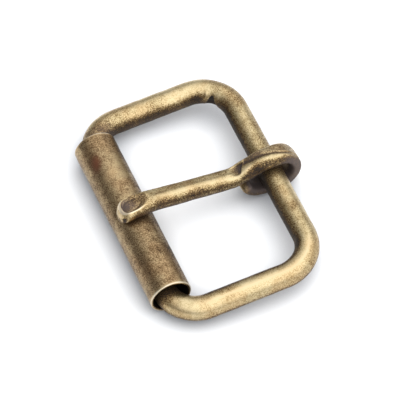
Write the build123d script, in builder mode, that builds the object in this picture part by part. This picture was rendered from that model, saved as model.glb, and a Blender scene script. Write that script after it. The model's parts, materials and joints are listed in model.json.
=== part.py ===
"""Roller buckle for a 38 mm strap: a bent wire frame, a sheet roller on one bar and a swinging tongue on the other.

Millimetres, +Z up. The buckle lies flat on its roller and on the tongue's eye, and the origin is under
the middle of it. The bars run along Y: the roller bar on the -X side and the heel bar, with the tongue
and the strap's end, on the +X side.
"""

from math import asin, atan, cos, degrees, pi, radians, sin, sqrt
import os

from build123d import *

os.makedirs("parts", exist_ok=True)

# Frame: one round wire bent into a rounded rectangle, its ends butted in a corner by the heel bar.
wire_diameter = 4.5
bar_spacing = 27.1  # centre to centre of the two bars
rail_spacing = 44.0  # centre to centre of the two side rails
heel_corner_radius = 6.8  # centreline of the wire
roller_corner_radius = 6.0
butt_nick_width = 1.5  # the notch left where the wire's two ends meet
butt_nick_depth = 0.9
butt_nick_turn = 47.0  # degrees round the corner from the rail

# Roller: a tube rolled from sheet, loose on its bar.
roller_wall = 0.5
roller_slack = 1.135  # between the wire and the bore, if the roller were centred on its bar
roller_end_gap = 1.85  # between each end and the rail beside it, if it stood in the middle
roller_seam_gap = 0.12
roller_edge_round = 0.2
roller_push = 0.36  # how far the loose roller sits inward of its bar
roller_side_play = -0.14  # where it stands along its bar

# Tongue: a wire whose flattened end is bent into an oval eye, with a tail that curls up under the blade.
eye_width = 4.0
eye_strip = 2.15  # thickness of the flattened wire
eye_slack = 0.35  # between the wire and the inside of the eye's round end, if it were centred
eye_flat = 2.0  # straight stretch on top of the eye
eye_push = 1.15  # the eye's round end is centred this far beyond the heel bar's axis
eye_edge_round = 0.7
eye_floor_climb = 12.0  # degrees, from under the bar up towards the tail
eye_floor_straight = 2.9
tail_curl_radius = 3.8  # centreline
tail_curl_turn = 54.0
neck_bend_radius = 3.7  # centreline of both bends of the neck
neck_turn = 31.0
neck_straight = 3.1
blade_width = 3.6
blade_thickness = 3.1
blade_edge_round = 1.2
blade_sag = 0.3
blade_taper_start = 0.45  # share of the blade's length before it starts to flatten into the tip
tip_width = 4.2
tip_thickness = 2.3
tip_edge_round = 0.5
tip_overhang = 3.0  # beyond the roller's axis
tip_turn = 38.0
tip_jog = 0.6  # the tip's own place to the side, a little less than the blade's
tip_end_thinning = 0.2
tongue_yaw = 3.6  # it lies a little askew on its bar
tongue_offset = 0.05  # the eye's place along the heel bar
blade_jog = 0.85  # the blade leaves the eye this far to one side of its middle
foot_jog_share = 0.15  # part of that jog made by the neck's first bend
bend_jog_share = 0.7  # and by its second

# Where the tongue's sections stand: shares of the blade's run, and degrees round the tip's corner
blade_shares = (0.02, 0.3, 0.6, 0.8)
tip_corner_angles = (0, 35, 60, 80)
tip_edge_share = 0.45  # widest edge round, as a share of a narrowing section's width

# Clearances
bar_in_roller = 0.05
bar_in_eye = 0.1
tip_on_roller = 0.06

wire_radius = wire_diameter / 2
bore_radius = wire_radius + roller_slack
roller_radius = bore_radius + roller_wall
roller_length = rail_spacing - wire_diameter - 2 * roller_end_gap
eye_bore_radius = wire_radius + eye_slack
eye_height = 2 * (eye_bore_radius + eye_strip)

# The roller and the eye stand on the surface, and the frame's bars lie in the bottom of each.
roller_drop = sqrt((bore_radius - wire_radius - bar_in_roller) ** 2 - roller_push**2)
roller_bar_z = roller_radius - roller_drop
eye_axis_z = eye_height / 2
floor_climb = radians(eye_floor_climb)
bar_lift = wire_radius + bar_in_eye - eye_bore_radius + eye_push * sin(floor_climb)
heel_bar_z = eye_axis_z + bar_lift / cos(floor_climb)
frame_tilt = asin((heel_bar_z - roller_bar_z) / bar_spacing)

# The origin is under the middle of the box round the whole buckle, from the roller to the eye's round end.
bar_run = bar_spacing * cos(frame_tilt)
eye_reach = (
    (eye_push + eye_height / 2 - eye_edge_round) * cos(radians(tongue_yaw))
    + (eye_width / 2 - eye_edge_round) * sin(radians(tongue_yaw))
    + eye_edge_round
)
roller_bar_x = (roller_radius - roller_push - bar_run - eye_reach) / 2
heel_bar_x = roller_bar_x + bar_run
roller_x = roller_bar_x + roller_push

frame_plane = Plane(
    origin=(roller_bar_x, 0, roller_bar_z),
    x_dir=(cos(frame_tilt), 0, sin(frame_tilt)),
    z_dir=(-sin(frame_tilt), 0, cos(frame_tilt)),
)
roller_plane = Plane(origin=(roller_x, roller_side_play, roller_radius), x_dir=(1, 0, 0), z_dir=(0, -1, 0))

# Side view of the tongue: x runs along it, away from the tip, from the heel bar's axis, and y is up.
yaw_cos, yaw_sin = cos(radians(tongue_yaw)), sin(radians(tongue_yaw))
tongue_plane = Plane(
    origin=(heel_bar_x, tongue_offset, 0), x_dir=(yaw_cos, yaw_sin, 0), z_dir=(yaw_sin, -yaw_cos, 0)
)


def blade_section_plane(along, up, aside, rise):
    """The plane across the blade at a point of its centreline that climbs towards the tip at rise degrees."""
    heading = tongue_plane.x_dir * -cos(radians(rise)) + Vector(0, 0, sin(radians(rise)))
    centre = tongue_plane.from_local_coords(Vector(along, up, -aside))
    return Plane(origin=centre, x_dir=tongue_plane.z_dir, z_dir=heading)


with BuildPart() as frame:
    rail_y = rail_spacing / 2
    with BuildLine(frame_plane) as wire_run:
        FilletPolyline(
            (0, -rail_y),
            (bar_spacing, -rail_y),
            (bar_spacing, rail_y),
            (0, rail_y),
            radius=[roller_corner_radius, heel_corner_radius, heel_corner_radius, roller_corner_radius],
            close=True,
        )
    wire_path = wire_run.wires()[0]
    with BuildSketch(Plane(origin=wire_path @ 0, z_dir=wire_path % 0)):
        Circle(wire_radius)
    sweep(path=wire_path)
    # the notch where the wire's ends meet, on the inside of the corner
    nick_heading = radians(90 - butt_nick_turn)
    nick_reach = heel_corner_radius - wire_radius + butt_nick_depth
    nick_x = bar_spacing - heel_corner_radius + nick_reach * cos(nick_heading)
    nick_y = rail_y - heel_corner_radius + nick_reach * sin(nick_heading)
    with BuildSketch(frame_plane):
        with Locations(Location((nick_x, nick_y, 0), degrees(nick_heading))):
            Polygon(
                (0, 0),
                (-2 * butt_nick_depth, butt_nick_width),
                (-2 * butt_nick_depth, -butt_nick_width),
                align=None,
            )
    extrude(amount=wire_diameter, both=True, mode=Mode.SUBTRACT)

with BuildPart() as roller:
    with BuildSketch(roller_plane):
        Circle(roller_radius)
        Circle(bore_radius, mode=Mode.SUBTRACT)
        # the sheet's two edges meet in an open seam, underneath
        with Locations((0, -roller_radius)):
            Rectangle(roller_seam_gap, 3 * roller_wall, mode=Mode.SUBTRACT)
    extrude(amount=roller_length / 2, both=True)
    outer_ends = (
        roller.faces().filter_by(Plane.XZ).edges().filter_by(GeomType.CIRCLE)
        .filter_by(lambda edge: edge.radius > (roller_radius + bore_radius) / 2)
    )
    fillet(outer_ends, radius=roller_edge_round)

with BuildPart() as tongue:
    # the eye, from the foot of the neck over the top, round the bar and up into the tail
    top_height = eye_height - eye_strip / 2
    eye_radius = (eye_height - eye_strip) / 2
    root_along = eye_push - eye_flat
    with BuildLine(tongue_plane) as eye_run:
        top = Line((root_along, top_height), (eye_push, top_height))
        bend = JernArc(start=top @ 1, tangent=top % 1, radius=eye_radius, arc_size=-180 - eye_floor_climb)
        base = Line(bend @ 1, bend @ 1 + (bend % 1) * eye_floor_straight)
        JernArc(start=base @ 1, tangent=base % 1, radius=tail_curl_radius, arc_size=-tail_curl_turn)
    eye_path = eye_run.wires()[0]
    with BuildSketch(Plane(origin=eye_path @ 0, x_dir=tongue_plane.z_dir, z_dir=eye_path % 0)):
        RectangleRounded(eye_width, eye_strip, eye_edge_round)
    sweep(path=eye_path)

    # the neck, down from the eye in two bends, and the blade, up to the roller and bent down over it
    foot_along = root_along - neck_bend_radius * sin(radians(neck_turn))
    foot_height = top_height - neck_bend_radius * (1 - cos(radians(neck_turn)))
    bend_along = foot_along - neck_straight * cos(radians(neck_turn))
    bend_height = foot_height - neck_straight * sin(radians(neck_turn))
    start_along = bend_along - neck_bend_radius * sin(radians(neck_turn))
    start_height = bend_height - neck_bend_radius * (1 - cos(radians(neck_turn)))
    rest_along = (roller_x - heel_bar_x) / yaw_cos
    rest_height = 2 * roller_radius + tip_on_roller + tip_thickness / 2
    blade_run = start_along - rest_along
    climb = (rest_height - start_height) / blade_run

    # along and up from the heel bar's foot, aside, rise in degrees, then the section's width, thickness and edge
    stations = [
        (root_along, top_height, 0, 0, eye_width, eye_strip, eye_edge_round),
        (foot_along, foot_height, blade_jog * foot_jog_share, -neck_turn, eye_width, eye_strip, eye_edge_round),
        (bend_along, bend_height, blade_jog * bend_jog_share, -neck_turn, blade_width, blade_thickness, blade_edge_round),
    ]
    for share in blade_shares:
        sag = blade_sag * sin(pi * share)
        rise = degrees(atan(climb - blade_sag * pi * cos(pi * share) / blade_run))
        taper = max(0, share - blade_taper_start) / (1 - blade_taper_start)
        stations.append(
            (
                start_along - share * blade_run,
                start_height + share * blade_run * climb - sag,
                blade_jog,
                rise,
                blade_width + taper * (tip_width - blade_width),
                blade_thickness + taper * (tip_thickness - blade_thickness),
                blade_edge_round + taper * (tip_edge_round - blade_edge_round),
            )
        )
    stations.append((rest_along, rest_height, tip_jog, 0, tip_width, tip_thickness, tip_edge_round))

    # past the roller the tip bends down, and its end is round seen from above
    tip_radius = tip_width / 2
    tip_bend_radius = tip_overhang / sin(radians(tip_turn))
    for corner in tip_corner_angles:
        beyond = tip_overhang - tip_radius + tip_radius * sin(radians(corner))
        turn = asin(beyond / tip_bend_radius)
        width = tip_width * cos(radians(corner))
        thickness = tip_thickness * (1 - tip_end_thinning * (corner / 90) ** 2)
        edge_round = min(tip_edge_round, width * tip_edge_share)
        drop = tip_bend_radius * (1 - cos(turn))
        rise = -degrees(turn)
        stations.append(
            (rest_along - beyond, rest_height - drop, tip_jog, rise, width, thickness, edge_round)
        )
    for along, up, aside, rise, width, thickness, edge_round in stations:
        with BuildSketch(blade_section_plane(along, up, aside, rise)):
            RectangleRounded(width, thickness, edge_round)
    loft()

frame.part.label = "frame"
export_step(frame.part, "parts/frame.step")
roller.part.label = "roller"
export_step(roller.part, "parts/roller.step")
tongue.part.label = "tongue"
export_step(tongue.part, "parts/tongue.step")
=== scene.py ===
import json
import math

import bpy
import numpy as np
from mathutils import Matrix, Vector


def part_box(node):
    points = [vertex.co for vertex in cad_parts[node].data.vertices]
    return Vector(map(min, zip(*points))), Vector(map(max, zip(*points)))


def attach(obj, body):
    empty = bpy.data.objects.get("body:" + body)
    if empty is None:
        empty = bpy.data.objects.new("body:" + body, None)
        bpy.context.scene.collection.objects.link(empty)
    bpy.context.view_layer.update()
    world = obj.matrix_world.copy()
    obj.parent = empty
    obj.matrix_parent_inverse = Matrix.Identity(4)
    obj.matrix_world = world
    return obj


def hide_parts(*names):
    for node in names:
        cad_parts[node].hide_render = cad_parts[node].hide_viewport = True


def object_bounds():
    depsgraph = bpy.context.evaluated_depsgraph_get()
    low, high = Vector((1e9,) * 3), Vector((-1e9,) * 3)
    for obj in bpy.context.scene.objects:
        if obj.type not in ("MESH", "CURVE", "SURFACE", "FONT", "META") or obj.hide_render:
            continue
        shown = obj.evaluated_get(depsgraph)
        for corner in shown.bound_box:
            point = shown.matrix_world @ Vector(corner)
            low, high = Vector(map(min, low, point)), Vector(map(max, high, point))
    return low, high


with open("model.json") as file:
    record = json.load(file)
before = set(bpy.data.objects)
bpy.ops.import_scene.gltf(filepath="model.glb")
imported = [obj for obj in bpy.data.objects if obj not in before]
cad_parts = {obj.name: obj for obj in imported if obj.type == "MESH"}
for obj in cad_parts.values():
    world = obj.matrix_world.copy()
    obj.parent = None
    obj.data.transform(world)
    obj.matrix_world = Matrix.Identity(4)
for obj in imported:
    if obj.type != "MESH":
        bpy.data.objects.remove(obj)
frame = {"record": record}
cadLow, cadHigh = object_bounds()
print("frame loaded")

mm = 0.001
mounts = {mount["name"]: mount for mount in frame["record"]["mounts"]}
heelBar = mounts["heel_bar"]
rollerPath = mounts["roller_strap_path"]
wireRadius = heelBar["dims"]["r_mm"]
heelX, _, heelZ = (value / mm for value in heelBar["pos_m"])
rollerX, rollerY, rollerZ = (value / mm for value in rollerPath["pos_m"])
rollerRadius = rollerPath["dims"]["r_mm"]
rollerLength = rollerPath["dims"]["length_mm"]
wireLow, wireHigh = (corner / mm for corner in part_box("frame"))


# the helpers below work on numpy arrays, in millimetres

def smooth(low, high, value):
    # 0 below low, 1 above high, and the cubic 3t^2 - 2t^3 between them
    t = np.clip((value - low) / (high - low), 0, 1)
    return t * t * (3 - 2 * t)


def bump(value, centre, width):
    # a bell of height 1: exp(-((value - centre) / width)^2)
    return np.exp(-(((value - centre) / width) ** 2))


def ripple(points, size, seed):
    # uneven surface: the sum of 40 plane waves in random directions, about one size long,
    # scaled to about -1..1
    rng = np.random.default_rng(seed)
    waves = rng.normal(size=(40, 3)) * 2 * np.pi / size / 1.7
    phases = rng.uniform(0, 2 * np.pi, 40)
    return np.cos(points @ waves.T + phases).sum(-1) / np.sqrt(20) / 1.6


def follow(lengths, headings, samples):
    # a path from its headings: heading runs straight from one break to the next along the length, and the
    # point is the running sum of (cos, sin) of it. Gives x, y and heading at each sample.
    breaks = np.concatenate([[0], np.cumsum(lengths)])
    fine = np.linspace(0, breaks[-1], 40001)
    heading = np.interp(fine, breaks, np.radians(headings))
    step = fine[1]
    middle = (heading[1:] + heading[:-1]) / 2
    x = np.concatenate([[0], np.cumsum(np.cos(middle)) * step])
    y = np.concatenate([[0], np.cumsum(np.sin(middle)) * step])
    return np.interp(samples, fine, x), np.interp(samples, fine, y), np.interp(samples, fine, heading)


def skin(name, points, closed, caps, **attributes):
    # a mesh over a grid of points: quads between neighbours, joined round the second way, and round the
    # first way too if closed. Caps shut the two ends with a fan to their middle.
    rows, across = points.shape[:2]
    index = np.arange(rows * across).reshape(rows, across)
    here = index if closed else index[:-1]
    there = np.roll(index, -1, 0) if closed else index[1:]
    quads = np.stack([here, there, np.roll(there, -1, 1), np.roll(here, -1, 1)], -1).reshape(-1, 4)
    verts = points.reshape(-1, 3)
    faces = quads.tolist()
    values = {key: np.broadcast_to(value, (rows, across)).reshape(-1) for key, value in attributes.items()}
    if caps:
        middles = points[[0, -1]].mean(1)
        first = rows * across
        start = np.stack([np.full(across, first), index[0], np.roll(index[0], -1)], -1)
        end = np.stack([np.full(across, first + 1), np.roll(index[-1], -1), index[-1]], -1)
        faces += start.tolist() + end.tolist()
        verts = np.concatenate([verts, middles])
        values = {key: np.concatenate([value, value[[0, first - 1]]]) for key, value in values.items()}
    corners = verts[quads]
    volume = np.einsum("ij,ij->i", corners[:, 0], np.cross(corners[:, 1], corners[:, 2])).sum()
    volume += np.einsum("ij,ij->i", corners[:, 0], np.cross(corners[:, 2], corners[:, 3])).sum()
    if volume < 0:  # turn the faces outwards
        faces = [face[::-1] for face in faces]
    mesh = bpy.data.meshes.new(name)
    mesh.from_pydata((verts * mm).tolist(), [], faces)
    mesh.update()
    mesh.shade_smooth()
    for key, value in values.items():
        attribute = mesh.attributes.new(key, "FLOAT", "POINT")
        attribute.data.foreach_set("value", value.astype(np.float32))
    piece = bpy.data.objects.new(name, mesh)
    bpy.context.scene.collection.objects.link(piece)
    return piece


wire = {
    "heelCorner": 6.8,
    "rollerCorner": 6.0,
    "alongSamples": 960,
    "aroundSamples": 60,
    "unevenness": 0.022,
    "nickTurn": 47.0,  # degrees round the corner from the far rail
    "nickTop": 128.0,  # degrees round the wire from its outside, over the top
    "nickSpan": 80.0,  # degrees on from there
    "nickWidth": 2.1,
    "nickDepth": 0.85,
    "bulge": 0.1,
    "dent": 0.12,
    "innerTarnishAndShade": 0.66,  # patina and painted shade on the inside of the ring
    "rollerShade": 0.55,  # painted shade on the bar inside the roller
    "eyeShade": 0.35,  # painted shade where the tongue's eye sits on the bar
    "paintedNearHighlight": 0.6,  # a painted highlight: a pale line along the near rail
}


def makeWire():
    # a tube round a rounded rectangle: point = centre + radius * (cos(turn) * outward + sin(turn) * up).
    # The notch and the dent are taken off the radius, and the bulge is added to it.
    barX, barZ = wireLow.x + wireRadius, wireLow.z + wireRadius
    tilt = math.atan2(heelZ - barZ, heelX - barX)
    spacing = math.hypot(heelX - barX, heelZ - barZ)
    railY = wireHigh.y - wireRadius
    halfBar = railY - wire["rollerCorner"]
    rail = spacing - wire["rollerCorner"] - wire["heelCorner"]
    rollerArc = wire["rollerCorner"] * np.pi / 2
    heelArc = wire["heelCorner"] * np.pi / 2
    heelRun = 2 * (railY - wire["heelCorner"])
    lengths = [halfBar, rollerArc, rail, heelArc, heelRun, heelArc, rail, rollerArc, halfBar]
    headings = [-90, -90, 0, 0, 90, 90, 180, 180, 270, 270]
    total = sum(lengths)
    along = np.arange(wire["alongSamples"]) * total / wire["alongSamples"]
    across, aside, heading = follow(lengths, headings, along)
    turn = np.arange(wire["aroundSamples"]) * 2 * np.pi / wire["aroundSamples"]

    # the notch is on the inside of the far corner by the heel bar, with the rail's end swollen beside it
    cornerEnd = sum(lengths[:6])
    nickAt = cornerEnd - heelArc * wire["nickTurn"] / 90
    degreesRound = np.degrees(turn)
    widening = np.clip((degreesRound - wire["nickTop"]) / wire["nickSpan"], 0.02, 1)
    deepening = smooth(0.0, 0.45, widening) * (1 - 0.8 * smooth(195, 225, degreesRound))
    fromNick = np.abs(along - nickAt)[:, None]
    nick = np.clip(1 - (fromNick / (wire["nickWidth"] * widening)) ** 2.5, 0, 1)
    nick = nick * deepening * (1 - smooth(250, 270, degreesRound))
    bulge = bump(along, nickAt + 1.5, 0.42)[:, None] * bump(degreesRound, 142, 17)
    bulge = bulge + bump(along, nickAt - 1.5, 0.5)[:, None] * bump(degreesRound, 150, 34) * 0.4
    dent = bump(along, nickAt + 3.7, 1.2)[:, None] * bump(degreesRound, 160, 26)

    up = np.array([-math.sin(tilt), 0, math.cos(tilt)])
    forward = np.array([math.cos(tilt), 0, math.sin(tilt)])
    sideways = np.array([0, 1, 0])
    centre = np.array([barX, 0, barZ]) + across[:, None] * forward + aside[:, None] * sideways
    outward = np.sin(heading)[:, None] * forward - np.cos(heading)[:, None] * sideways
    ray = np.cos(turn)[None, :, None] * outward[:, None] + np.sin(turn)[None, :, None] * up
    even = centre[:, None] + wireRadius * ray
    uneven = ripple(even, 5.0, 3) * wire["unevenness"] + ripple(even, 1.6, 4) * wire["unevenness"] * 0.35
    radius = wireRadius - wire["unevenness"] + uneven
    radius = radius - wire["nickDepth"] * nick + wire["bulge"] * bulge - wire["dent"] * dent
    points = centre[:, None] + radius[..., None] * ray

    # darker on the inside of the ring, partly patina and partly painted shade, with painted shade under it
    # and where the roller and the eye sit over it
    nearRail = smooth(14, 18, -even[..., 1]) * smooth(rollerX + 3, rollerX + 6, even[..., 0])
    # patina and painted shade on the inside of the ring, reaching further round on the near rail
    inner = smooth(126 - 20 * nearRail, 170 - 38 * nearRail, degreesRound)
    inner = inner * (1 - smooth(200, 260, degreesRound)) * wire["innerTarnishAndShade"]
    farMouth = bump(even[..., 1], 19.8, 1.7) * (1 - smooth(rollerX + 3, rollerX + 6, even[..., 0]))
    # painted shade under the wire
    outerUnder = 1 - smooth(0, 42, (degreesRound + 90) % 360 - 90)
    under = smooth(215, 270, degreesRound) * 0.25 + outerUnder * 0.14
    onHeel = smooth(heelX - 4.5, heelX - 1.5, even[..., 0]) * 0.10
    onFar = smooth(-4, 16, even[..., 1]) * 0.06
    # painted shade on the heel bar where the tongue's eye sits
    nearEye = bump(even[..., 1], 0, 3.4) * smooth(heelX - 5, heelX - 3, even[..., 0]) * wire["eyeShade"]
    # painted shade on the bar inside the roller
    insideRoller = (1 - smooth(rollerX + 3, rollerX + 5, even[..., 0])) * wire["rollerShade"]
    insideRoller = insideRoller * (1 - smooth(17.4, 19.8, np.abs(even[..., 1])))
    # patina and painted shade on the heel bar's inner side
    heelInner = onHeel * 2.2 * smooth(100, 150, degreesRound) * (1 - smooth(160, 200, degreesRound))
    atCorner = bump(along, nickAt, 2.6)[:, None]
    inner = inner * (1 - 0.45 * atCorner)
    tarnish = inner + under + onHeel + heelInner * (1 - atCorner) + onFar + nearEye + insideRoller
    # patina in the notch, and painted shade in the dent beside it
    tarnish = tarnish + farMouth * 0.26 + smooth(0.05, 0.4, nick) * 1.3 + dent * 0.25
    tarnish = tarnish + ripple(even, 6.0, 5) * 0.08
    # painted highlight: a pale line along the near rail; the bulge beside the notch is paler, partly wear
    # and partly painted highlight
    wear = bulge * 0.4 + nearRail * bump(degreesRound, 78, 8) * wire["paintedNearHighlight"]
    return skin("frameWire", points, True, False, tarnish=tarnish, wear=wear, mauve=farMouth * 0.4)


tube = {
    "wall": 0.5,
    "seam": 0.12,
    "rim": 0.17,
    "aroundSamples": 168,
    "lengthSamples": 130,
    "unevenness": 0.03,
    "outOfRound": 0.035,
    "redAlong": 12.0,  # the reddish stain, from the roller's middle towards the far end
    "redTurn": 212.0,  # and degrees round from the seam
    # painted shade inside the bore
    "boreShade": 0.95,
}


def makeRoller():
    # a rolled sheet: the wall's outline in (length, radius) with round corners, carried round the axis
    # from one edge of the seam to the other
    half = rollerLength / 2
    outer, inner = rollerRadius, rollerRadius - tube["wall"]
    rim = tube["rim"]
    quarter = np.linspace(0, np.pi / 2, 7)
    run = np.linspace(-half + rim, half - rim, tube["lengthSamples"])
    back = run[::-2]
    roundIn, roundOut = rim * np.sin(quarter[1:]), rim * np.cos(quarter[1:])
    endY = np.concatenate([roundIn, rim * np.cos(quarter[1:-1])]) + half - rim
    y = np.concatenate([run, endY, back, -endY])
    r = np.concatenate([
        np.full(len(run), outer), outer - rim + roundOut, inner + rim - rim * np.sin(quarter[1:-1]),
        np.full(len(back), inner), inner + rim - roundOut, outer - rim + rim * np.sin(quarter[1:-1]),
    ])
    gap = tube["seam"] / 2 / rollerRadius
    turn = np.linspace(gap, 2 * np.pi - gap, tube["aroundSamples"])
    ray = np.stack([np.sin(turn), np.zeros_like(turn), -np.cos(turn)], -1)
    axis = np.array([rollerX, rollerY, rollerZ])
    lengthwise = np.array([0, 1, 0])
    even = axis + y[None, :, None] * lengthwise + r[None, :, None] * ray[:, None]
    uneven = ripple(even, 7.0, 11) * tube["unevenness"] + ripple(even, 2.2, 12) * tube["unevenness"] * 0.4
    oval = -tube["outOfRound"] * (1 + np.cos(2 * turn))[:, None] / 2
    drop = np.clip(uneven - tube["unevenness"], None, 0) + oval * smooth(0, 1, turn)[:, None]
    drop = drop * np.clip((r - inner) / tube["wall"], 0, 1)  # the bore keeps its radius, clear of the bar
    points = even + drop[..., None] * ray[:, None]

    fromEnd = half - np.abs(y)
    outside = r > inner + rim
    rimWear = np.where(outside, bump(fromEnd, 0, 0.36), 0)[None] * (1.0 + 0.25 * ripple(even, 2.4, 13))
    # painted shade inside the bore
    inBore = np.where(outside, 0, 1)[None] * (1 - bump(fromEnd, 0, 0.15))[None]
    redTurn = np.radians(tube["redTurn"]) + 0.06 * (tube["redAlong"] - y)
    red = bump(y, tube["redAlong"], 1.6)[None] * bump(turn[:, None], redTurn, 0.27)
    # painted shade and reflection: a darker band up one side and a dark line low on the other, where the
    # tube mirrors the dim room and the shaded floor
    darkSide = bump(turn, np.radians(222), 0.42)[:, None] * 0.13
    darkLine = bump(turn, np.radians(116), 0.26)[:, None] * 0.38
    mottling = ripple(even, 9.0, 14) * 0.07 + ripple(even, 2.6, 15) * 0.05
    tarnish = inBore * tube["boreShade"] + mottling + red * 0.2 + darkSide + darkLine
    return skin("rollerTube", points, False, True, tarnish=tarnish, wear=np.clip(rimWear, 0, 1), rust=red)


prong = {
    "yaw": 3.6,
    "offset": 0.05,
    "eyeHeight": 9.5,
    "strip": 2.15,
    "eyeFlat": 2.0,
    "eyePush": 1.15,
    "floorClimb": 12.0,
    "floorStraight": 2.9,
    "tailRadius": 3.8,
    "tailTurn": 54.0,
    "neckRadius": 3.7,
    "neckTurn": 31.0,
    "neckStraight": 3.1,
    "tipThickness": 2.3,
    "tipOverhang": 3.0,
    "tipTurn": 40.0,
    "tipLean": 48.0,
    "restGap": 0.08,
    "tipRadius": 1.9,  # of its round end, seen from above
    "pitDepth": 0.7,
    "flatDepth": 0.14,  # the flat on the blade's far side
    "dishHalfLength": 2.75,
    "dishHalfWidth": 1.78,
    "dishDepth": 0.62,
    "alongSamples": 640,
    "aroundSamples": 120,
    "unevenness": 0.02,
}


def tongueCentreline(count):
    # headings round the eye from the tail's end, down the neck and along the blade. The blade's climb is
    # mended until its underside rests on the roller.
    eyeRadius = (prong["eyeHeight"] - prong["strip"]) / 2
    eyeTurn = 180 + prong["floorClimb"]
    tailArc = prong["tailRadius"] * math.radians(prong["tailTurn"])
    neckArc = prong["neckRadius"] * math.radians(prong["neckTurn"])
    climb, bladeLength = 9.0, 17.0
    restAlong = (rollerX - heelX) / math.cos(math.radians(prong["yaw"]))
    restUp = rollerZ + rollerRadius + prong["restGap"] + prong["tipThickness"] / 2
    tipLength = prong["tipOverhang"] * 1.05
    for _ in range(6):
        firstClimb, lastClimb = climb - 3.0, climb + 3.0
        settle = prong["neckRadius"] * math.radians(prong["neckTurn"] + firstClimb)
        lengths = [
            tailArc, prong["floorStraight"], eyeRadius * math.radians(eyeTurn), prong["eyeFlat"],
            neckArc, prong["neckStraight"], settle, bladeLength - 3, 3.0, tipLength,
        ]
        headings = [
            -prong["floorClimb"] - prong["tailTurn"], -prong["floorClimb"], -prong["floorClimb"], 180, 180,
            180 + prong["neckTurn"], 180 + prong["neckTurn"], 180 - firstClimb, 180 - lastClimb,
            180, 180 + prong["tipTurn"],
        ]
        breaks = np.concatenate([[0], np.cumsum(lengths)])
        marks = np.array([breaks[3], breaks[9]])
        x, y, _ = follow(lengths, headings, marks)
        shiftX = prong["eyePush"] - x[0]
        shiftY = prong["eyeHeight"] - prong["strip"] / 2 - y[0]
        bladeLength += (x[1] + shiftX) - restAlong
        climb += math.degrees((restUp - y[1] - shiftY) / bladeLength)
    # samples crowd towards the two ends, where the section closes
    even = np.linspace(0, 1, count)
    crowd = even + 0.12 / (2 * np.pi) * -np.sin(2 * np.pi * even)
    samples = crowd * breaks[-1]
    along, height, heading = follow(lengths, headings, samples)
    return samples, along + shiftX, height + shiftY, heading, breaks


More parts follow.
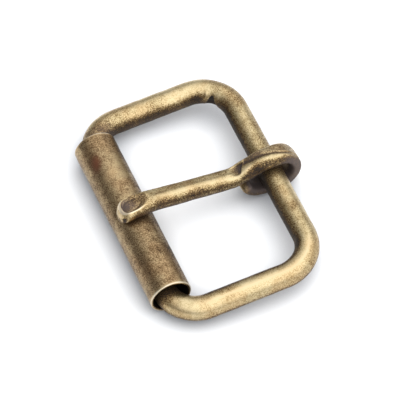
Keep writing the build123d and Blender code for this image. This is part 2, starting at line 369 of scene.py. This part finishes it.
def makeTongue():
    # sections carried along the centreline. A section is a rounded rectangle in polar form,
    # radius = (|cos/a|^n + |sin/b|^n)^(-1/n), and its upper side is then pressed down by the depths below.
    at, along, height, heading, breaks = tongueCentreline(prong["alongSamples"])
    root, neckEnd, bladeStart, rest, end = breaks[4], breaks[6], breaks[7], breaks[9], breaks[10]

    # half width, half thickness, squareness and place to the side, each running straight between stations
    stations = np.array([0, root, root + 2.0, neckEnd, bladeStart + 8, rest - 4.5, rest - 1.2, end])
    halfWidth = np.interp(at, stations, [2.05, 2.08, 2.06, 1.95, 1.9, 1.98, 2.18, 2.2])
    halfThick = np.interp(at, stations, [1.07, 1.075, 1.05, 1.33, 1.55, 1.42, 1.15, 1.12])
    squareness = np.interp(at, stations, [3.6, 3.4, 3.2, 2.6, 2.6, 2.8, 3.2, 2.5])
    aside = np.interp(at, stations, [0.05, 0.06, 0.16, 0.66, 0.92, 0.9, 0.72, 0.62])

    # both ends close: the tip round in plan with a blunt edge, the tail with a short round
    beyond = np.clip((at - end) / prong["tipRadius"] + 1, 0, 1)
    halfWidth = halfWidth * np.sqrt(1 - beyond**2.6 * 0.99)
    halfThick = halfThick * np.sqrt(1 - smooth(0.8, 1, beyond) * 0.35)
    tailRound = np.clip(1 - at / 0.5, 0, 1)
    halfWidth = halfWidth * (1 - 0.18 * tailRound**2)
    halfThick = halfThick * (1 - 0.3 * tailRound**2)

    turn = np.arange(prong["aroundSamples"]) * 2 * np.pi / prong["aroundSamples"]
    c, s = np.cos(turn)[None], np.sin(turn)[None]
    n = squareness[:, None]
    polar = (np.abs(c / halfWidth[:, None]) ** n + np.abs(s / halfThick[:, None]) ** n) ** (-1 / n)
    side, lift = polar * c, polar * s
    atGrid = np.broadcast_to(at[:, None], side.shape)
    onTop = smooth(0.05, 0.55, s)

    # the eye: a rounded ridge on the near side and a flat band on the far side. The groove between them
    # starts wide and deep at the foot of the neck and crosses to the near side over the top.
    grooveSide = np.interp(at, root + np.array([-6.5, -4.8, -2.8, -1.3, 0.2, 1.2, 3.2]),
                           [-1.15, -1.0, -0.42, 0.2, 0.66, 0.9, 1.05])[:, None]
    crestSide = np.interp(at, root + np.array([-6, -4, -1.5, 1.2, 2.7, 4.3, 5.9, 7.7, 10]),
                          [-1.6, -1.35, -0.9, -0.12, -0.2, -0.7, -1.15, -0.95, -0.5])[:, None]
    fall = np.clip(crestSide - side, 0, None)
    deepest = smooth(root - 1.8, root + 1.2, atGrid)
    pitAt = neckEnd - 0.75 - 0.62 * side
    beforePit = 1 - smooth(pitAt - 0.2, pitAt + 0.1, atGrid)
    overEye = smooth(root - 8.0, root - 5.5, atGrid) * beforePit
    band = (0.2 - 0.12 * deepest) * smooth(grooveSide - 0.1, grooveSide + 0.3, side)
    grooveWidth = 0.32 + 0.34 * deepest
    groove = (0.2 + 0.36 * deepest) * bump(side, grooveSide, grooveWidth)
    lip = 0.07 * bump(side, grooveSide + 0.5 + 0.1 * deepest, 0.16) * (1 - 0.5 * deepest)
    shoulder = (0.16 + 0.2 * deepest) * np.clip(fall, 0, 1.7) ** 1.7
    eyeDepth = overEye * (band + groove + shoulder - lip)
    # the pit at the end of the neck: a steep wall on the loop's side, fading along the blade
    pitRise = smooth(pitAt - 0.1, pitAt + 0.2, atGrid)
    pitFade = 1 - smooth(neckEnd - 0.5, neckEnd + 2.7, atGrid + 0.4 * np.abs(side - 0.4))
    pitAcross = smooth(-1.0, -0.35, side) * (1 - smooth(1.1, 1.6, side))
    pit = pitRise * pitFade * pitAcross
    # the blade: flat on the far side, with a worn ridge on the near side
    overBlade = smooth(neckEnd + 1.0, neckEnd + 2.5, atGrid) * (1 - smooth(rest - 4.5, rest - 2.0, atGrid))
    flat = prong["flatDepth"] * smooth(-0.2, 0.7, side) * (1 - smooth(1.35, 1.85, side))
    # the tip: a thumb-shaped dish over most of its width, steep towards the end and the near edge
    dishAt = rest - 0.12
    dishSide = 0.28 + 0.42 * np.clip((dishAt - atGrid) / 2.4, 0, 1.2)
    dishAlong = np.abs((atGrid - dishAt) / prong["dishHalfLength"])
    dishAcross = np.abs((side - dishSide) / prong["dishHalfWidth"])
    oval = (dishAlong**2.5 + dishAcross**2.5) ** 0.4
    steep = 0.35 + 0.65 * smooth(rest - 3.4, rest + 0.6, atGrid)
    dishEdge = 0.38 + 0.34 * smooth(rest - 2.2, rest + 1.0, atGrid)
    dish = prong["dishDepth"] * steep * (1 - smooth(dishEdge, 1.0, oval)) - 0.05 * bump(oval, 1.06, 0.10)
    dish = dish * smooth(rest - 5.0, rest - 3.0, atGrid)
    nearFall = 0.10 * overBlade * np.clip(fall, 0, 1.5) ** 1.6
    depth = eyeDepth + prong["pitDepth"] * pit + overBlade * flat + nearFall + dish
    lift = lift - onTop * depth

    # small nicks in the end wall
    nicks = bump(turn, np.radians(179), 0.4)[None] * bump(atGrid, end - 0.62, 0.27)
    nicks = nicks + bump(turn, np.radians(168), 0.15)[None] * bump(atGrid, end - 0.34, 0.12)
    nicks = nicks + 0.5 * bump(turn, np.radians(58), 0.16)[None] * bump(atGrid, end - 0.22, 0.14)
    squeeze = 1 - 0.15 * nicks
    side, lift = side * squeeze, lift * squeeze

    yaw = math.radians(prong["yaw"])
    forward = np.array([math.cos(yaw), math.sin(yaw), 0])
    far = np.array([-math.sin(yaw), math.cos(yaw), 0])
    up = np.array([0, 0, 1])
    lean = heading - math.radians(prong["tipLean"]) * smooth(rest + 0.4, end - 0.2, at)
    outer = np.sin(lean)[:, None] * forward - np.cos(lean)[:, None] * up
    hinge = np.array([heelX, prong["offset"], 0])
    centre = hinge + along[:, None] * forward + height[:, None] * up + aside[:, None] * far
    points = centre[:, None] + side[..., None] * far + lift[..., None] * outer[:, None]
    uneven = (ripple(points, 3.6, 21) + ripple(points, 1.1, 22) * 0.3) * prong["unevenness"]
    normal = side[..., None] * far + lift[..., None] * outer[:, None]
    normal = normal / np.linalg.norm(normal, axis=-1, keepdims=True)
    points = points + (uneven - prong["unevenness"])[..., None] * normal

    fromGroove = side - grooveSide
    inBand = overEye * smooth(0.3, 0.6, fromGroove) * (1 - smooth(1.72, 1.92, side)) * onTop
    # painted shade: the underside, the near wall and the inner edge, which turn from the light, and the
    # inside of the eye
    underside = smooth(0.1, 0.7, -s) * 0.3
    nearWall = smooth(0.25, 0.9, -c) * (1 - smooth(0.25, 0.8, s)) * (1 - smooth(rest, end - 1.5, atGrid))
    innerEdge = smooth(0.2, 0.8, -c) * (1 - smooth(-0.45, 0.2, s))
    roundEnd = smooth(breaks[2] + 1, breaks[2] + 4, atGrid) * (1 - smooth(root - 2, root, atGrid))
    inEye = smooth(0.0, 0.5, -s) * (1 - smooth(neckEnd - 2, neckEnd, atGrid))
    onTail = 1 - smooth(breaks[2] - 1.0, breaks[2] + 2.0, atGrid)
    inDish = onTop * (1 - smooth(0.86, 1.0, oval))
    dishBrown = 1 - smooth(rest - 1.4, rest + 0.8, atGrid - 0.5 * side)
    dishNear = smooth(0.5, -0.9, side)
    onLoop = smooth(breaks[2], breaks[2] + 2.5, atGrid) * (1 - smooth(root - 4.5, root - 2, atGrid))
    loopShade = onLoop * smooth(0.2, 0.75, -c) * (1 - smooth(0.15, 0.8, s))
    # painted shade in this sum: the fall beyond the crest, the underside, nearWall, innerEdge, loopShade
    # and inEye, and the dish's far side, left darker than its near side; the rest is tarnish, patina in the
    # groove, pit and dish, the nicks and the tail
    tarnish = (
        onTop * overEye * bump(fromGroove, 0, 0.4 + 0.24 * deepest) * (0.36 + 0.4 * deepest)
        + inBand * 0.2
        + onTop * pit**1.5 * 0.95
        + onTop * overBlade * smooth(-0.1, 0.6, side) * 0.12
        + onTop * (overEye + overBlade) * smooth(0.15, 1.0, fall) * (0.26 + 0.16 * deepest * overEye)
        + inDish * (0.16 + 0.32 * steep * (1 - dishNear) + 0.1 * smooth(rest, rest + 1.4, atGrid))
        + onTop * bump(atGrid, (root + neckEnd) / 2, 3.0) * smooth(0.2, 0.9, fall) * 0.1
        + underside
        + nearWall * 0.44
        + innerEdge * 0.18
        + loopShade * 0.2
        + inEye * (0.3 - 0.52 * roundEnd)
        + nicks * 1.1
        + onTail * 0.14
        + ripple(points, 4.0, 23) * 0.06
    )
    # the crest is paler: partly wear on the ridge, partly a painted highlight along it
    crest = onTop * bump(side, crestSide, 0.42) * smooth(root - 6, root - 3, atGrid)
    crest = crest * (1 - 0.6 * smooth(rest - 5, rest - 3, atGrid))
    rim = bump(oval, 1.05, 0.08) * smooth(rest - 2.5, rest - 0.5, atGrid) * onTop
    endWear = smooth(end - 1.3, end - 0.5, atGrid) * smooth(-0.9, -0.2, s)
    endWear = endWear * (1 - np.clip(nicks * 1.5, 0, 1))
    tailEnd = 1 - smooth(0.15, 0.8, atGrid)
    farEdge = onTop * overEye * smooth(1.72, 1.92, side)
    wear = (crest * 0.34 + rim * 1.1 + endWear * 0.34 + farEdge * 0.5 + tailEnd * 0.5) * (1 - inDish)
    # mauve: partly a tarnish tone, partly painted shade inside the eye, under the loop's end, along the
    # inner edge, on the tail and in the dish
    mauve = inBand * 0.4 + inDish * (1 - 0.85 * dishBrown) * (1 - 0.35 * dishNear)
    mauve = mauve + onTop * overEye * bump(fromGroove, -0.05, 0.4) * 0.5
    mauve = mauve + np.clip(pit, 0, 1) * 0.45 + inEye + onTail * 0.55
    mauve = mauve + loopShade + 0.4 * innerEdge
    wear, mauve = np.clip(wear, 0, 1), np.clip(mauve, 0, 1)
    return skin("tonguePlate", points, False, True, tarnish=tarnish, wear=wear, mauve=mauve)


def addNode(tree, kind, place, **settings):
    node = tree.nodes.new(kind)
    node.location = place
    for key, value in settings.items():
        if key in node.inputs:
            node.inputs[key].default_value = value
        else:
            setattr(node, key, value)
    return node


def mathNode(tree, operation, place, first, second, third=None):
    # one Math node. A value that isn't a socket is set on the node itself.
    node = addNode(tree, "ShaderNodeMath", place, operation=operation)
    for socket, value in zip(node.inputs, (first, second, third)):
        if isinstance(value, bpy.types.NodeSocket):
            tree.links.new(value, socket)
        elif value is not None:
            socket.default_value = value
    return node.outputs[0]


def spread(tree, place, value, low, high, toLow, toHigh):
    node = addNode(tree, "ShaderNodeMapRange", place, interpolation_type="SMOOTHSTEP")
    tree.links.new(value, node.inputs["Value"])
    for name, number in zip(("From Min", "From Max", "To Min", "To Max"), (low, high, toLow, toHigh)):
        node.inputs[name].default_value = number
    return node.outputs["Result"]


def blendColour(tree, place, factor, first, second, mode="MIX"):
    node = addNode(tree, "ShaderNodeMix", place, data_type="RGBA", blend_type=mode)
    colourInputs = [socket for socket in node.inputs if socket.type == "RGBA"]
    for socket, value in zip((node.inputs[0], *colourInputs), (factor, first, second)):
        if isinstance(value, bpy.types.NodeSocket):
            tree.links.new(value, socket)
        else:
            socket.default_value = value
    return [socket for socket in node.outputs if socket.type == "RGBA"][0]


tints = {
    "warm": (1.0, 0.9, 0.84, 1),  # multiplied in, in broad patches
    "rust": (0.17, 0.06, 0.032, 1),
    # the mauve grey is partly a cool tarnish tone and partly painted shade, the cast of undersides and
    # hollows turned from the light
    "mauve": (0.15, 0.118, 0.112, 1),
}


def makeBrassGroup():
    # darkness = its own tarnish amount + the surface's tarnish and painted shade - its wear and painted
    # sheen + fine speckle + clouds + a slow drift.
    # The colour runs from bright brass through brown to black as it rises, and towards the pale
    # WornAndSheen colour on wear and painted highlights.
    tree = bpy.data.node_groups.new("antiqueBrass", "ShaderNodeTree")
    floats = {"Speckle Scale": 2600.0, "Speckle": 1.0, "Clouds": 0.5, "Tarnish": 0.2}
    colours = ("WornAndSheen", "Bright", "Middle", "Brown", "Dark")
    for name, value in floats.items():
        tree.interface.new_socket(name, in_out="INPUT", socket_type="NodeSocketFloat").default_value = value
    for name in colours:
        tree.interface.new_socket(name, in_out="INPUT", socket_type="NodeSocketColor")
    tree.interface.new_socket("Color", in_out="OUTPUT", socket_type="NodeSocketColor")
    for name in ("Roughness", "Metallic", "Height"):
        tree.interface.new_socket(name, in_out="OUTPUT", socket_type="NodeSocketFloat")
    given = addNode(tree, "NodeGroupInput", (-1500, 0)).outputs
    result = addNode(tree, "NodeGroupOutput", (900, 0)).inputs

    place = addNode(tree, "ShaderNodeTexCoord", (-1500, -400)).outputs["Object"]
    fine = addNode(tree, "ShaderNodeTexNoise", (-1250, -200), Detail=5.0, Roughness=0.72)
    tree.links.new(given["Speckle Scale"], fine.inputs["Scale"])
    medium = addNode(tree, "ShaderNodeTexNoise", (-1250, -420), Scale=820.0, Detail=4.0, Roughness=0.6)
    broad = addNode(tree, "ShaderNodeTexNoise", (-1250, -640), Scale=230.0, Detail=2.0, Roughness=0.5)
    for noise in (fine, medium, broad):
        tree.links.new(place, noise.inputs["Vector"])
    tarnish = addNode(tree, "ShaderNodeAttribute", (-1250, 200), attribute_name="tarnish").outputs["Fac"]
    wear = addNode(tree, "ShaderNodeAttribute", (-1250, 20), attribute_name="wear").outputs["Fac"]
    rust = addNode(tree, "ShaderNodeAttribute", (-1250, -840), attribute_name="rust").outputs["Fac"]
    mauve = addNode(tree, "ShaderNodeAttribute", (-1250, -1040), attribute_name="mauve").outputs["Fac"]

    speckle = spread(tree, (-1000, -200), fine.outputs["Fac"], 0.3, 0.7, -0.5, 0.5)
    speckle = mathNode(tree, "MULTIPLY", (-800, -200), speckle, given["Speckle"])
    cloud = spread(tree, (-1000, -420), medium.outputs["Fac"], 0.3, 0.7, -0.5, 0.5)
    cloud = mathNode(tree, "MULTIPLY", (-800, -420), cloud, given["Clouds"])
    drift = spread(tree, (-1000, -640), broad.outputs["Fac"], 0.3, 0.7, -0.5, 0.5)
    drift = mathNode(tree, "MULTIPLY", (-800, -640), drift, 0.16)
    base = mathNode(tree, "ADD", (-600, 200), tarnish, given["Tarnish"])
    # speckle shows most on tarnish and painted shade, and least on worn edges and painted highlights
    fade = spread(tree, (-600, -20), wear, 0.0, 1.0, 1.0, 0.25)
    deepen = spread(tree, (-600, -120), base, 0.1, 0.42, 0.65, 1.0)
    speckle = mathNode(tree, "MULTIPLY", (-600, -200), speckle, fade)
    speckle = mathNode(tree, "MULTIPLY", (-500, -300), speckle, deepen)
    total = mathNode(tree, "ADD", (-400, 100), base, speckle)
    total = mathNode(tree, "ADD", (-400, -60), total, cloud)
    total = mathNode(tree, "ADD", (-400, -220), total, drift)
    total = mathNode(tree, "MULTIPLY_ADD", (-200, 60), wear, -0.55, total)

    dulled = spread(tree, (-200, 240), total, 0.0, 0.34, 0.0, 1.0)
    browned = spread(tree, (-200, 420), total, 0.3, 0.62, 0.0, 1.0)
    darkened = spread(tree, (-200, 600), total, 0.6, 1.0, 0.0, 1.0)
    wornAndSheen = spread(tree, (0, 420), wear, 0.45, 1.0, 0.0, 0.8)
    colour = blendColour(tree, (0, 200), dulled, given["Bright"], given["Middle"])
    colour = blendColour(tree, (180, 200), browned, colour, given["Brown"])
    colour = blendColour(tree, (360, 200), darkened, colour, given["Dark"])
    colour = blendColour(tree, (540, 200), wornAndSheen, colour, given["WornAndSheen"])
    tint = spread(tree, (0, -500), broad.outputs["Fac"], 0.40, 0.62, 0.0, 0.6)
    colour = blendColour(tree, (620, 60), tint, colour, tints["warm"], "MULTIPLY")
    reddish = mathNode(tree, "MULTIPLY", (400, -700), rust, 0.85)
    colour = blendColour(tree, (720, 200), reddish, colour, tints["rust"])
    # the mauve attribute pulls the colour towards the mauve grey, partly tarnish and partly painted shade
    cooler = mathNode(tree, "MULTIPLY", (600, -700), mauve, 0.55)
    colour = blendColour(tree, (800, 200), cooler, colour, tints["mauve"])
    tree.links.new(colour, result["Color"])
    rough = spread(tree, (540, -60), total, 0.0, 0.9, 0.29, 0.58)
    tree.links.new(mathNode(tree, "MULTIPLY_ADD", (720, -60), wear, 0.16, rough), result["Roughness"])
    tree.links.new(spread(tree, (540, -220), total, 0.45, 1.0, 1.0, 0.6), result["Metallic"])
    tree.links.new(mathNode(tree, "MULTIPLY", (540, -380), total, -1.0), result["Height"])
    return tree


brassGroup = makeBrassGroup()


def makeBrass(name, colours, amounts):
    material = bpy.data.materials.new(name)
    material.use_nodes = True
    tree = material.node_tree
    shader = tree.nodes["Principled BSDF"]
    group = addNode(tree, "ShaderNodeGroup", (-600, 0))
    group.node_tree = brassGroup
    for key, value in amounts.items():
        group.inputs[key].default_value = value
    for key, value in colours.items():
        group.inputs[key].default_value = (*value, 1)
    grain = addNode(tree, "ShaderNodeBump", (-300, -200), Strength=0.22, Distance=0.00006)
    tree.links.new(group.outputs["Height"], grain.inputs["Height"])
    tree.links.new(grain.outputs["Normal"], shader.inputs["Normal"])
    tree.links.new(group.outputs["Color"], shader.inputs["Base Color"])
    tree.links.new(group.outputs["Roughness"], shader.inputs["Roughness"])
    tree.links.new(group.outputs["Metallic"], shader.inputs["Metallic"])
    return material


goldenBrass = {
    "WornAndSheen": (0.78, 0.71, 0.57),
    "Bright": (0.55, 0.45, 0.268),
    "Middle": (0.375, 0.284, 0.143),
    "Brown": (0.135, 0.083, 0.035),
    "Dark": (0.024, 0.016, 0.010),
}
brownBrass = {
    "WornAndSheen": (0.70, 0.645, 0.52),
    "Bright": (0.43, 0.325, 0.18),
    "Middle": (0.272, 0.192, 0.106),
    "Brown": (0.117, 0.072, 0.033),
    "Dark": (0.016, 0.0105, 0.007),
}
frameFinish = {"Speckle Scale": 4800, "Speckle": 0.85, "Clouds": 0.16, "Tarnish": 0.15}
rollerFinish = {"Speckle Scale": 4400, "Speckle": 0.8, "Clouds": 0.26, "Tarnish": 0.30}
tongueFinish = {"Speckle Scale": 4800, "Speckle": 0.85, "Clouds": 0.16, "Tarnish": 0.20}
frameBrass = makeBrass("frameBrass", goldenBrass, frameFinish)
rollerBrass = makeBrass("rollerBrass", brownBrass, rollerFinish)
tongueBrass = makeBrass("tongueBrass", goldenBrass, tongueFinish)
print("antique brass made")

for make, node, body, slot, brass in (
    (makeWire, "frame", "frame", "frame_brass", frameBrass),
    (makeRoller, "roller", "roller", "roller_brass", rollerBrass),
    (makeTongue, "tongue", "tongue", "tongue_brass", tongueBrass),
):
    piece = make()
    piece.data.materials.append(brass)
    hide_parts(node)
    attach(piece, body)
    print("made", piece.name, len(piece.data.polygons), "faces")


studio = {
    "floorSize": 3.0,  # metres, as the distance is
    "azimuth": -23.07,
    "elevation": 53.84,
    "distance": 0.6354,
    "lens": 317.3,
    "sensor": 36.0,
    "target": (-0.393, 1.93, 0.0),  # millimetres
    "keyAzimuth": 35.0,
    "keyElevation": 55.0,
    "keyLow": -0.1,
    "keyHigh": 0.95,
    "key": 1.92,
    "backAzimuth": 165.0,
    "backElevation": 32.0,
    "backLow": 0.6,
    "backHigh": 1.0,
    "back": 0.39,
    "dim": 0.23,
    "horizon": 0.45,  # the share of the key light left at the horizon, rising to all at horizonTop
    "horizonTop": 0.6,
    "floor": (0.94, 0.955, 0.98, 1),
    "contactShadow": (0.52, 0.545, 0.59, 1),
    "contactReach": 6.0,
    "tint": (1.0, 1.0, 1.0),
}

floorMesh = bpy.data.meshes.new("floor")
reach = studio["floorSize"] / 2
floorCorners = [(x * reach, y * reach, cadLow.z) for x, y in ((-1, -1), (1, -1), (1, 1), (-1, 1))]
floorMesh.from_pydata(floorCorners, [], [(0, 1, 2, 3)])
floor = bpy.data.objects.new("floor", floorMesh)
bpy.context.scene.collection.objects.link(floor)
floorPaint = bpy.data.materials.new("floorPaint")
floorPaint.use_nodes = True
floorTree = floorPaint.node_tree
floorShader = floorTree.nodes["Principled BSDF"]
# painted contact shadow: the floor's colour darkens where the metal nearly touches it
shade = addNode(floorTree, "ShaderNodeAmbientOcclusion", (-900, 0), Distance=studio["contactReach"] * mm)
clear = spread(floorTree, (-700, 0), shade.outputs["AO"], 0.2, 0.95, 0.0, 1.0)
floorColour = blendColour(floorTree, (-400, 0), clear, studio["contactShadow"], studio["floor"])
floorTree.links.new(floorColour, floorShader.inputs["Base Color"])
floorShader.inputs["Roughness"].default_value = 0.9
floorShader.inputs["Specular IOR Level"].default_value = 0.1
floorMesh.materials.append(floorPaint)


def direction(azimuth, elevation):
    # azimuth turns from the front (-Y) towards +X
    turned, raised = math.radians(azimuth), math.radians(elevation)
    level = math.cos(raised)
    return (math.sin(turned) * level, -math.cos(turned) * level, math.sin(raised))


def makeSky():
    # a soft studio: a wide key light to the front and a fainter one low at the back, in a dim room.
    # level = dim + key lobe, lowered towards the horizon, + back lobe. A lobe is smoothstep of the
    # cosine of the angle to its light.
    world = bpy.data.worlds.new("studio")
    bpy.context.scene.world = world
    world.use_nodes = True
    tree = world.node_tree
    background = tree.nodes["Background"]
    place = addNode(tree, "ShaderNodeTexCoord", (-1100, 0)).outputs["Generated"]
    aim = addNode(tree, "ShaderNodeVectorMath", (-900, 0), operation="DOT_PRODUCT")
    tree.links.new(place, aim.inputs[0])
    aim.inputs[1].default_value = direction(studio["keyAzimuth"], studio["keyElevation"])
    lobe = spread(
        tree, (-700, 0), aim.outputs["Value"], studio["keyLow"], studio["keyHigh"], 0.0, studio["key"])
    height = addNode(tree, "ShaderNodeSeparateXYZ", (-900, -250))
    tree.links.new(place, height.inputs[0])
    lowered = spread(
        tree, (-700, -250), height.outputs["Z"], 0.0, studio["horizonTop"], studio["horizon"], 1.0)
    lobe = mathNode(tree, "MULTIPLY", (-500, 0), lobe, lowered)
    level = mathNode(tree, "ADD", (-300, 0), lobe, studio["dim"])
    behind = addNode(tree, "ShaderNodeVectorMath", (-900, 250), operation="DOT_PRODUCT")
    tree.links.new(place, behind.inputs[0])
    behind.inputs[1].default_value = direction(studio["backAzimuth"], studio["backElevation"])
    backLobe = spread(
        tree, (-700, 250), behind.outputs["Value"],
        studio["backLow"], studio["backHigh"], 0.0, studio["back"])
    level = mathNode(tree, "ADD", (-100, 0), level, backLobe)
    background.inputs["Color"].default_value = (*studio["tint"], 1)
    tree.links.new(level, background.inputs["Strength"])


makeSky()

cameraData = bpy.data.cameras.new("camera")
cameraData.lens = studio["lens"]
cameraData.sensor_width = studio["sensor"]
cameraData.clip_start, cameraData.clip_end = 0.02, 20
camera = bpy.data.objects.new("camera", cameraData)
bpy.context.scene.collection.objects.link(camera)
backward = Vector(direction(studio["azimuth"], studio["elevation"]))
camera.location = Vector(studio["target"]) * mm + backward * studio["distance"]
camera.rotation_mode = "QUATERNION"
camera.rotation_quaternion = (-backward).to_track_quat("-Z", "Y")
bpy.context.scene.camera = camera
bpy.context.scene.view_settings.view_transform = "Standard"
print("studio ready")
